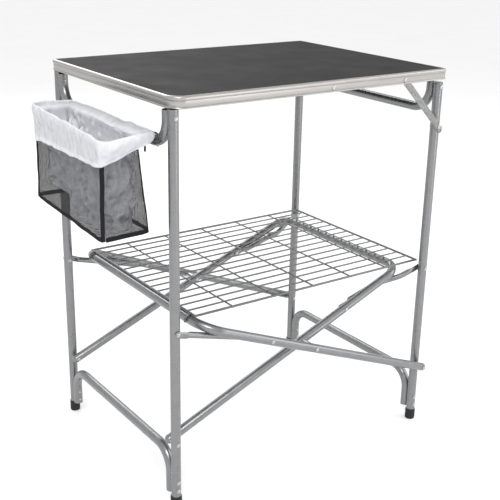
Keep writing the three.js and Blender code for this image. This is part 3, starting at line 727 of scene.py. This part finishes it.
# ---------- crossing frames and links ----------
def cross_frame(node, towards, arm_y, bend):
    """A U of tube: two arms from their pivots on one side's legs up to a bar near the other side's."""
    pivot = Vector((-towards * LEG_X, 0, ARM_PIVOT_Z))
    bar = Vector((towards * BAR_X, 0, BAR_Z))
    along = (bar - pivot).normalized()
    end = pivot - along
    normal = along.cross(Y_AXIS).normalized()
    corners = [end - Y_AXIS * arm_y, bar - Y_AXIS * arm_y, bar + Y_AXIS * arm_y, end + Y_AXIS * arm_y]
    stand_in(node, *domed_rod(bent_path(corners, bend), CROSS_RADIUS, normal), "coated_tube")


def link_places(sx):
    """Sideways places of a link: plate and tube at the leg, tube and plate at the arm."""
    clear = GAP + 0.1
    if sx < 0:
        plate = LEG_OUTER_FACE + clear + LINK_FLAT
        tube = OUTER_ARM_Y - CROSS_RADIUS - GAP - LINK_RADIUS
        return plate, tube, tube, plate
    inside_arm = INNER_ARM_Y - CROSS_RADIUS
    plate_at_leg = LEG_INNER_FACE - clear - LINK_FLAT
    tube_at_leg = LEG_INNER_FACE - GAP - LINK_RADIUS
    return plate_at_leg, tube_at_leg, inside_arm - GAP - LINK_RADIUS, inside_arm - clear - LINK_FLAT


def link_drop(distance, dip):
    """How far the tube hangs below its straight line: half of the dip at its start, none at its end."""
    full_from = 55
    full_until = 82
    none_from = 110
    if distance <= full_from:
        return dip * (0.5 + 0.5 * smooth((distance - LINK_TUBE_START) / (full_from - LINK_TUBE_START)))
    return dip * (1 - smooth((distance - full_until) / (none_from - full_until)))


def link(node, sx, sy):
    """A tube whose two ends are flattened; the stations run from the leg to the arm."""
    plate_at_leg, tube_at_leg, tube_at_arm, plate_at_arm = link_places(sx)
    dip = LINK_DIP if sx > 0 else 0
    start = Vector((sx * LEG_X, 0, LINK_Z))
    run = Vector((sx * LINK_END_X, 0, LINK_END_Z)) - start
    length = run.length
    along = run.normalized()
    leg_half = 6.4  # half height of the flattened end at the leg
    arm_half = 5.4
    aside_until = 100  # distance by which the tube has moved over to the arm

    def place(distance, y, width, thickness, drop=0):
        return start + along * distance + Y_AXIS * (sy * y) - Z_AXIS * drop, width, thickness

    def tube_y(distance):
        share = smooth((distance - LINK_TUBE_START) / (aside_until - LINK_TUBE_START))
        return tube_at_leg + (tube_at_arm - tube_at_leg) * share

    def flattening(plate_distance, tube_distance, plate_y, tube_side, half_height, drop=0):
        """From the plate at one distance to the full tube at the other."""
        steps = 8
        made = []
        for i in range(steps + 1):
            share = smooth(i / steps)
            distance = plate_distance + (tube_distance - plate_distance) * i / steps
            y = plate_y + (tube_side - plate_y) * share
            width = half_height + (LINK_RADIUS - half_height) * share
            thickness = LINK_FLAT + (LINK_RADIUS - LINK_FLAT) * share
            made.append(place(distance, y, width, thickness, drop * share))
        return made

    def tip(distance, direction, y, half_height):
        """The rounded end of a plate, from its point inwards."""
        made = []
        for degrees in (86, 65, 45, 25):
            angle = math.radians(degrees)
            reach = direction * half_height * math.sin(angle)
            made.append(place(distance + reach, y, half_height * math.cos(angle), LINK_FLAT))
        return made

    stations = tip(0, -1, plate_at_leg, leg_half)
    stations.append(place(0, plate_at_leg, leg_half, LINK_FLAT))
    stations += flattening(LINK_FLAT_RUN, LINK_TUBE_START, plate_at_leg, tube_at_leg, leg_half, dip / 2)
    for distance in range(35, 111, 5):
        drop = link_drop(distance, dip)
        stations.append(place(distance, tube_y(distance), LINK_RADIUS, LINK_RADIUS, drop))
    plate_from = length - LINK_FLAT_RUN
    tube_until = length - LINK_TUBE_START
    stations += flattening(plate_from, tube_until, plate_at_arm, tube_at_arm, arm_half)[::-1]
    stations.append(place(length, plate_at_arm, arm_half, LINK_FLAT))
    stations += tip(length, 1, plate_at_arm, arm_half)[::-1]
    stand_in(node, *skin(rings_along(stations, Y_AXIS, 32)), "coated_tube")


def link_end_rivet(name, sx, sy):
    """The rivet that holds a link to its arm. It has no CAD node of its own and rides on the arm's frame."""
    arm_y, body = (OUTER_ARM_Y, "outer_cross") if sx < 0 else (INNER_ARM_Y, "inner_cross")
    plate_y = link_places(sx)[3]
    inner_end = plate_y - LINK_FLAT - 0.2 - HEAD_THICKNESS
    outer_end = arm_y + CROSS_RADIUS + 0.2 + HEAD_THICKNESS
    low = min(sy * inner_end, sy * outer_end)
    centre = Vector((sx * LINK_END_X, low, LINK_END_Z))
    piece(name, *turned(rivet_profile(outer_end - inner_end), centre, Y_AXIS), "rivet", body)


# ---------- wire rack ----------
def straight_wire(start, end, radius):
    start, end = Vector(start), Vector(end)
    across = Y_AXIS if abs(end.x - start.x) > abs(end.y - start.y) else X_AXIS
    return domed_rod([start, end], radius, across, 16, 4)


def bar_hook(y, rim_z):
    """A short wire that grips the outer frame's bar from above."""
    wrap = rim_z - BAR_Z
    points = [Vector((u, y, v)) for u, v in arc(-BAR_X, BAR_Z, wrap, 80, 185, 14)]
    return domed_rod(points, RIM_WIRE * 0.9, Y_AXIS, 16, 4)


def rack():
    """Long wires on top of a few cross wires, in a rim of thicker wire, with two hooks on the bar."""
    long_wires = 16
    cross_wires = 5
    cross_pitch = 98
    rim_z = BAR_Z + CROSS_RADIUS + 0.5 + RIM_WIRE
    grid_z = rim_z + 0.4
    cross_z = grid_z - GRID_WIRE
    middle = (RACK_LEFT + RACK_RIGHT) / 2
    shapes = []
    for i in range(long_wires):
        y = -RACK_HALF_DEPTH + 2 * RACK_HALF_DEPTH * i / (long_wires - 1)
        edge = i in (0, long_wires - 1)
        z = rim_z if edge else grid_z
        radius = RIM_WIRE if edge else GRID_WIRE
        shapes.append(straight_wire((RACK_LEFT, y, z), (RACK_RIGHT, y, z), radius))
    for i in range(cross_wires):
        x = middle + cross_pitch * (i - (cross_wires - 1) / 2)
        ends = [(x, sy * RACK_HALF_DEPTH, cross_z) for sy in (-1, 1)]
        shapes.append(straight_wire(*ends, GRID_WIRE))
    for x in (RACK_LEFT, RACK_RIGHT):
        reach = RACK_HALF_DEPTH + RIM_WIRE * 0.6
        shapes.append(straight_wire((x, -reach, rim_z), (x, reach, rim_z), RIM_WIRE))
    shapes += [bar_hook(sy * (RACK_HALF_DEPTH - 14), rim_z) for sy in (-1, 1)]
    stand_in("wire_rack", *joined(shapes), "rack_wire")


# ---------- waste bag ----------
# Each outline below has four corners: front inner, front outer, rear outer, rear inner. Seen from above they
# run clockwise.
RIM_CORNERS = [Vector((-327, -190)), Vector((-440, -222)), Vector((-410, 149)), Vector((-326, 140))]
NET_CORNERS = [Vector((-350, -172)), Vector((-431, -194)), Vector((-405, 138)), Vector((-336, 132))]
FLOOR_CORNERS = [Vector((-332, -177)), Vector((-430, -185)), Vector((-410, 136)), Vector((-334, 132))]
CUFF_EDGE_Z = [718, 684, 667, 708]  # lower edge of the folded film at each corner
INNER_SIDE = 3  # the side beside the legs
CAD_INNER_X = -331  # where the CAD bag has that side
RIM_Z = 735
NET_TOP_Z = 722
FLOOR_Z = 551
BAG_STEPS = (26, 84, 22, 84)  # mesh columns on each side of the bag
COLUMNS = sum(BAG_STEPS)
FOLD_RADIUS = 3  # of the film where it turns over the rim
CLEAR_OF_NET = 3.2  # the film's distance from the net and its tape


def around(corners, passes):
    """Points round an outline, the same number for each; every pass rounds its corners more."""
    points = []
    for side, steps in enumerate(BAG_STEPS):
        start, end = corners[side], corners[(side + 1) % 4]
        points += [start.lerp(end, i / steps) for i in range(steps)]
    for _ in range(passes):
        n = len(points)
        points = [(points[i - 1] + points[i] * 2 + points[(i + 1) % n]) / 4 for i in range(n)]
    return points


def rim_line():
    """The film's rim is round except at the front inner corner, which the hook holds out."""
    sharp = around(RIM_CORNERS, 6)
    soft = around(RIM_CORNERS, 30)
    held_columns = 9
    line = []
    for i in range(COLUMNS):
        away = min(i, COLUMNS - i) / held_columns
        line.append(soft[i].lerp(sharp[i], math.exp(-away * away)))
    return line


RIM_LINE = rim_line()
NET_LINE = around(NET_CORNERS, 6)
FLOOR_LINE = around(FLOOR_CORNERS, 6)


def side_and_share(column):
    """Which side of the bag a column is on, and how far along it."""
    for side, steps in enumerate(BAG_STEPS):
        if column < steps:
            return side, column / steps
        column -= steps
    return INNER_SIDE, 1.0


def outward(column):
    """The direction away from the bag at a column, seen from above: left of the way round."""
    run = (RIM_LINE[(column + 2) % COLUMNS] - RIM_LINE[column - 2]).normalized()
    return Vector((-run.y, run.x))


def crumple(point, period, seed):
    """Smooth noise with waves of about the period in millimetres, different for each seed."""
    return noise.noise(Vector((point.x, point.y, point.z)) / period + Vector((seed, seed * 0.7, seed * 1.3)))


def net_height(z):
    return (z - FLOOR_Z) / (NET_TOP_Z - FLOOR_Z)


def seam_line(column, z):
    """Where the bag's straight side is at a height, seen from above."""
    return FLOOR_LINE[column].lerp(NET_LINE[column], net_height(z))


def net_inset(column, z):
    """How far the net is drawn in between its taped edges."""
    side, along = side_and_share(column)
    height = max(min(net_height(z), 1), 0)
    slack = 6.0 if side in (1, INNER_SIDE) else 2.0
    bow = slack * math.sin(math.pi * height) * math.sin(math.pi * along) ** 0.8
    flat = FLOOR_LINE[column].lerp(NET_LINE[column], height)
    wave = crumple(Vector((flat.x, flat.y, z)), period=42, seed=11.0)
    return bow - 2.6 * wave * math.sin(math.pi * along) ** 0.5


def film_point(column, z, offset, inside=False):
    """A point of the film. Outside the net it flares to its rim from low down, inside only above the net."""
    flare_from = NET_TOP_Z + 2 if inside else NET_TOP_Z - 40
    flare_to = RIM_Z - 4
    flat = seam_line(column, z)
    flat = flat.lerp(RIM_LINE[column], smooth((z - flare_from) / (flare_to - flare_from)))
    flat = flat + outward(column) * offset
    return Vector((flat.x, flat.y, z))


def rim_height(column):
    return RIM_Z + 2.5 * crumple(film_point(column, RIM_Z, 0), period=34, seed=9.0)


def cuff_edge(column):
    """Height of the folded film's lower edge: long on the three free sides, short beside the legs."""
    side, share = side_and_share(column)
    height = CUFF_EDGE_Z[side] + (CUFF_EDGE_Z[(side + 1) % 4] - CUFF_EDGE_Z[side]) * share
    if side == INNER_SIDE:
        held = smooth(min(share, 1 - share) * 9)
        height += (RIM_Z - 9 - height) * held
    ripple = crumple(film_point(column, 700, 0), period=26, seed=3.0)
    return height + 3.5 * ripple


def film_depth(column):
    """The film hangs down to the net's floor at the front and stays higher towards the back."""
    rise_from = FLOOR_CORNERS[0].y + 150
    rear = FLOOR_CORNERS[2].y
    share = smooth((FLOOR_LINE[column].y - rise_from) / (rear - rise_from))
    return FLOOR_Z + 7 + 45 * share


def cuff_point(column, share):
    """The folded film outside the net; the share runs from its lower edge to the rim."""
    edge = cuff_edge(column)
    z = edge + (rim_height(column) - FOLD_RADIUS - edge) * share
    base = film_point(column, z, 0)
    pleat = 1.9 * crumple(Vector((base.x, base.y, base.z * 0.35)), period=11, seed=5.0)
    flare = 1.6 * (1 - share)
    room = 0.35 if side_and_share(column)[0] == INNER_SIDE else 1.0
    return film_point(column, z, (3.2 + flare + pleat) * room)


def fold_point(column, share):
    """The film's turn over the rim; the share runs from outside to inside."""
    angle = math.pi * share
    wrinkle = 0.7 * crumple(film_point(column, RIM_Z, 0), period=8, seed=6.0)
    reach = (1.4 if side_and_share(column)[0] == INNER_SIDE else 2.6) * math.cos(angle)
    z = rim_height(column) - FOLD_RADIUS + FOLD_RADIUS * math.sin(angle)
    return film_point(column, z, reach + wrinkle)


def hanging_point(column, share):
    """The crumpled film inside the net; the share runs from the rim down."""
    rim = rim_height(column)
    z = rim - FOLD_RADIUS + (film_depth(column) - rim) * share
    base = film_point(column, z, 0)
    large = 17 * crumple(base, period=52, seed=1.0) * smooth(share * 2.5)
    folds = 15 * abs(crumple(base, period=26, seed=2.0)) + 8 * abs(crumple(base, period=13, seed=10.0)) - 5
    tucked = 9 * smooth((share - 0.15) * 2)
    inset = 3.4 + 8 * smooth(share * 1.6) + tucked + large + folds * smooth(share * 4)
    clear = max(net_inset(column, z), 0) + CLEAR_OF_NET
    lift = 5 * crumple(base, period=22, seed=7.0) * share
    return film_point(column, z + lift, -max(inset, clear), inside=True)


def bottom_rows(last, middle):
    """Rings that close the film's bottom, from its last hanging ring towards its middle."""
    closing = 9
    rows = []
    for row in range(1, closing):
        share = row / closing
        ring = []
        for point in last:
            inner = point.lerp(middle, share)
            small = 4 * crumple(inner, period=16, seed=8.0)
            large = 3 * crumple(inner, period=40, seed=4.0)
            rise = max(small + large, -3) + 1
            ring.append(Vector((inner.x, inner.y, inner.z + rise)))
        rows.append(ring)
    return rows


def film():
    """The liner as one sheet: folded lower edge, over the rim, down inside the net and across the bottom."""
    cuff_rows = 12
    fold_rows = 6
    hanging_rows = 46
    columns = range(COLUMNS)
    rows = [[cuff_point(i, row / cuff_rows) for i in columns] for row in range(cuff_rows)]
    rows += [[fold_point(i, row / fold_rows) for i in columns] for row in range(fold_rows + 1)]
    rows += [[hanging_point(i, row / hanging_rows) for i in columns] for row in range(1, hanging_rows + 1)]
    middle = sum(rows[-1], Vector()) / COLUMNS
    rows += bottom_rows(rows[-1], middle)
    vertices = [tuple(point) for ring in rows for point in ring]
    faces = []
    for r in range(len(rows) - 1):
        for i in columns:
            n = (i + 1) % COLUMNS
            faces.append((r * COLUMNS + i, r * COLUMNS + n, (r + 1) * COLUMNS + n, (r + 1) * COLUMNS + i))
    vertices.append(tuple(middle))
    base = (len(rows) - 1) * COLUMNS
    for i in columns:
        faces.append((base + i, base + (i + 1) % COLUMNS, len(vertices) - 1))
    made = piece("bag_film_liner", vertices, faces, "bag_film", "waste_bag", ["bag_liner"])
    thickness = made.modifiers.new("film thickness", "SOLIDIFY")
    thickness.thickness = 0.25 * MM


def net_point(column, z):
    flat = seam_line(column, z) - outward(column) * net_inset(column, z)
    return Vector((flat.x, flat.y, z))


def seam_point(column, z, offset):
    """A point on the net's straight taped edges."""
    flat = seam_line(column, z) + outward(column) * offset
    wave = 2.0 * crumple(Vector((flat.x, flat.y, z)), period=37, seed=12.0)
    return Vector((flat.x + wave, flat.y + wave, z))


def grid_faces(base, across, along):
    """Faces of a grid of vertices with so many cells across and along, starting at the base."""
    faces = []
    for row in range(along):
        for k in range(across):
            corner = base + row * (across + 1) + k
            faces.append((corner, corner + 1, corner + across + 2, corner + across + 1))
    return faces


def net():
    """Four walls and a floor of net, with UVs that count threads."""
    wall_rows = 30
    floor_rows = 40
    floor_columns = 10
    pitch = 1.7  # from thread to thread
    sag = 0.6
    vertices = []
    counts = []
    for row in range(wall_rows + 1):
        z = FLOOR_Z + (NET_TOP_Z - FLOOR_Z) * row / wall_rows
        travelled = 0
        for i in range(COLUMNS + 1):
            column = i % COLUMNS
            if i:
                travelled += (FLOOR_LINE[column] - FLOOR_LINE[column - 1]).length
            vertices.append(tuple(net_point(column, z)))
            counts.append((travelled / pitch, z / pitch))
    faces = grid_faces(0, COLUMNS, wall_rows)
    faces += grid_faces(len(vertices), floor_columns, floor_rows)
    for i in range(floor_rows + 1):
        near = FLOOR_CORNERS[0].lerp(FLOOR_CORNERS[3], i / floor_rows)
        far = FLOOR_CORNERS[1].lerp(FLOOR_CORNERS[2], i / floor_rows)
        for k in range(floor_columns + 1):
            flat = near.lerp(far, k / floor_columns)
            vertices.append((flat.x, flat.y, FLOOR_Z - sag * math.sin(math.pi * k / floor_columns)))
            counts.append((flat.x / pitch, flat.y / pitch))
    made = piece("bag_net_cloth", vertices, faces, "bag_mesh", "waste_bag", ["bag_net"], closed=False)
    layer = made.data.uv_layers.new(name="cloth")
    for loop in made.data.loops:
        layer.data[loop.index].uv = counts[loop.vertex_index]


def tape(points, out, half_width, half_thickness):
    """A flat binding that follows the points, its broad side facing outwards."""
    stations = [(point, half_width, half_thickness) for point in points]
    direction = Vector((out.x, out.y, 0)).normalized()
    return skin(rings_along(stations, direction, 20))


def binding():
    """Tape on the net's four upright corners, round its floor and round its top."""
    shapes = []
    corner_columns = [sum(BAG_STEPS[:side]) for side in range(4)]
    steps = 12
    heights = [FLOOR_Z + (NET_TOP_Z - FLOOR_Z) * i / steps for i in range(steps + 1)]
    for column in corner_columns:
        points = [seam_point(column, z, 0.2) for z in heights]
        shapes.append(tape(points, outward(column), 4.0, 1.0))
    for line_z, half_width in ((FLOOR_Z + 2.5, 4.2), (NET_TOP_Z - 6, 5.0)):
        for side, first in enumerate(corner_columns):
            columns = [(first + i) % COLUMNS for i in range(0, BAG_STEPS[side] + 1, 4)]
            points = [seam_point(column, line_z, 0.4) for column in columns]
            shapes.append(tape(points, outward(columns[len(columns) // 2]), half_width, 0.8))
    piece("bag_binding", *joined(shapes), "bag_mesh", "waste_bag", material=TAPE)


def bag_hook(node):
    """A bent hook that hangs the bag on the left upper brace."""
    low, high = box_of(node)
    y = (low.y + high.y) / 2
    wire = 2
    wrap = LEG_RADIUS + 0.6 + wire
    shank_x = CAD_INNER_X + wire + 0.3
    points = [Vector((shank_x, y, UPPER_BRACE_Z - drop)) for drop in (18, 6)]
    points += [Vector((u, y, v)) for u, v in arc(-LEG_X, UPPER_BRACE_Z, wrap, 180, -20, 24)]
    points.append(Vector((-LEG_X + wrap - 3, y, UPPER_BRACE_Z - 12)))
    stand_in(node, *domed_rod(points, wire, Y_AXIS, 20, 4), "black_plastic")


# ---------- CAD nodes shown as they are ----------
def dress(node, slot):
    """Keeps a CAD node, with its edges softened and a material of its own."""
    shown = NODES[node]
    shown.data.materials.clear()
    shown.data.materials.append(MATERIALS[slot])
    weld = shown.modifiers.new("weld", "WELD")
    weld.merge_threshold = 0.01 * MM
    edge = shown.modifiers.new("soft edges", "BEVEL")
    edge.width = 0.35 * MM
    edge.segments = 2
    edge.limit_method = "ANGLE"
    edge.angle_limit = math.radians(40)


# ---------- assembly ----------
panel()
trim()
rivet("trim_joint_rivet")

for side, sx in SIDES.items():
    for end, sy in ENDS.items():
        name = f"{side}_{end}"
        leg(f"{name}_leg", sx, sy)
        foot(f"{name}_foot", sx, sy)
        link(f"{name}_link", sx, sy)
        link_end_rivet(f"{name}_link_end_rivet", sx, sy)
        rivet(f"{name}_link_rivet")
        arm_rivet(f"{name}_arm_rivet", sx, sy)
        for kind in ("upper_brace_rivet", "lower_brace_rivet_1", "lower_brace_rivet_2"):
            blind_rivet(f"{name}_{kind}", sy)
    brace_top = LEFT_BRACE_TOP if sx < 0 else RIGHT_LEG_TOP - GAP
    brace(f"{side}_upper_brace", sx, brace_top, UPPER_BRACE_Z)
    brace(f"{side}_lower_brace", sx, LOWER_BRACE_END, LOWER_BRACE_Z)

for end, sy in ENDS.items():
    cross_rivet(f"{end}_cross_rivet", sy)
    strut(f"{end}_strut", sy)
    rivet(f"{end}_strut_rivet")
    rivet(f"{end}_strut_stud")
    rivet(f"{end}_hinge_pin")
    dress(f"{end}_hinge_cap", "zinc_plate")
    dress(f"{end}_hinge_bracket", "zinc_plate")
    bag_hook(f"bag_hook_{end}")

cross_frame("outer_cross_frame", -1, OUTER_ARM_Y, OUTER_BEND)
cross_frame("inner_cross_frame", 1, INNER_ARM_Y, INNER_BEND)
rack()
film()
net()
binding()


# ---------- stage ----------
def floor():
    reach = 40  # metres from the middle to each side
    corners = [(x * reach, y * reach, 0) for x, y in ((-1, -1), (1, -1), (1, 1), (-1, 1))]
    mesh = bpy.data.meshes.new("floor")
    mesh.from_pydata(corners, [], [(0, 1, 2, 3)])
    ground = bpy.data.objects.new("floor", mesh)
    bpy.context.scene.collection.objects.link(ground)
    color = (0.9, 0.9, 0.9)
    surface = new_surface("studio_floor", color, 0.9)
    mesh.materials.append(patterned(surface, color, grain(surface.tree, 3), 0.01, 0.85, 0.95))


def area_light(name, place, target, size, power):
    data = bpy.data.lights.new(name, "AREA")
    data.shape = "DISK"
    data.size = size
    data.energy = power
    light = bpy.data.objects.new(name, data)
    bpy.context.scene.collection.objects.link(light)
    light.location = place
    light.rotation_euler = (Vector(target) - Vector(place)).to_track_quat("-Z", "Y").to_euler()


def lights():
    centre = (0.05, 0, 0.45)
    area_light("key", (-1.6, -2.2, 2.9), centre, 1.8, 70)
    area_light("fill", (2.6, -1.6, 1.6), centre, 2.2, 26)
    area_light("back", (0.6, 2.6, 2.4), centre, 2.0, 30)
    area_light("low front", (1.3, -2.7, 0.35), centre, 0.9, 7)
    world = bpy.data.worlds.new("studio")
    bpy.context.scene.world = world
    world.use_nodes = True
    background = world.node_tree.nodes["Background"]
    background.inputs["Color"].default_value = (1, 1, 1, 1)
    background.inputs["Strength"].default_value = 1.0


def camera():
    data = bpy.data.cameras.new("camera")
    data.lens = 67.943
    data.sensor_width = 36
    viewer = bpy.data.objects.new("camera", data)
    bpy.context.scene.collection.objects.link(viewer)
    viewer.location = (CENTRE_X - 1.10737, -1.57143, 1.09152)
    viewer.rotation_euler = [math.radians(angle) for angle in (70.193, -1.106, -35.081)]
    bpy.context.scene.camera = viewer


floor()
lights()
camera()
bpy.context.scene.view_settings.view_transform = "Standard"
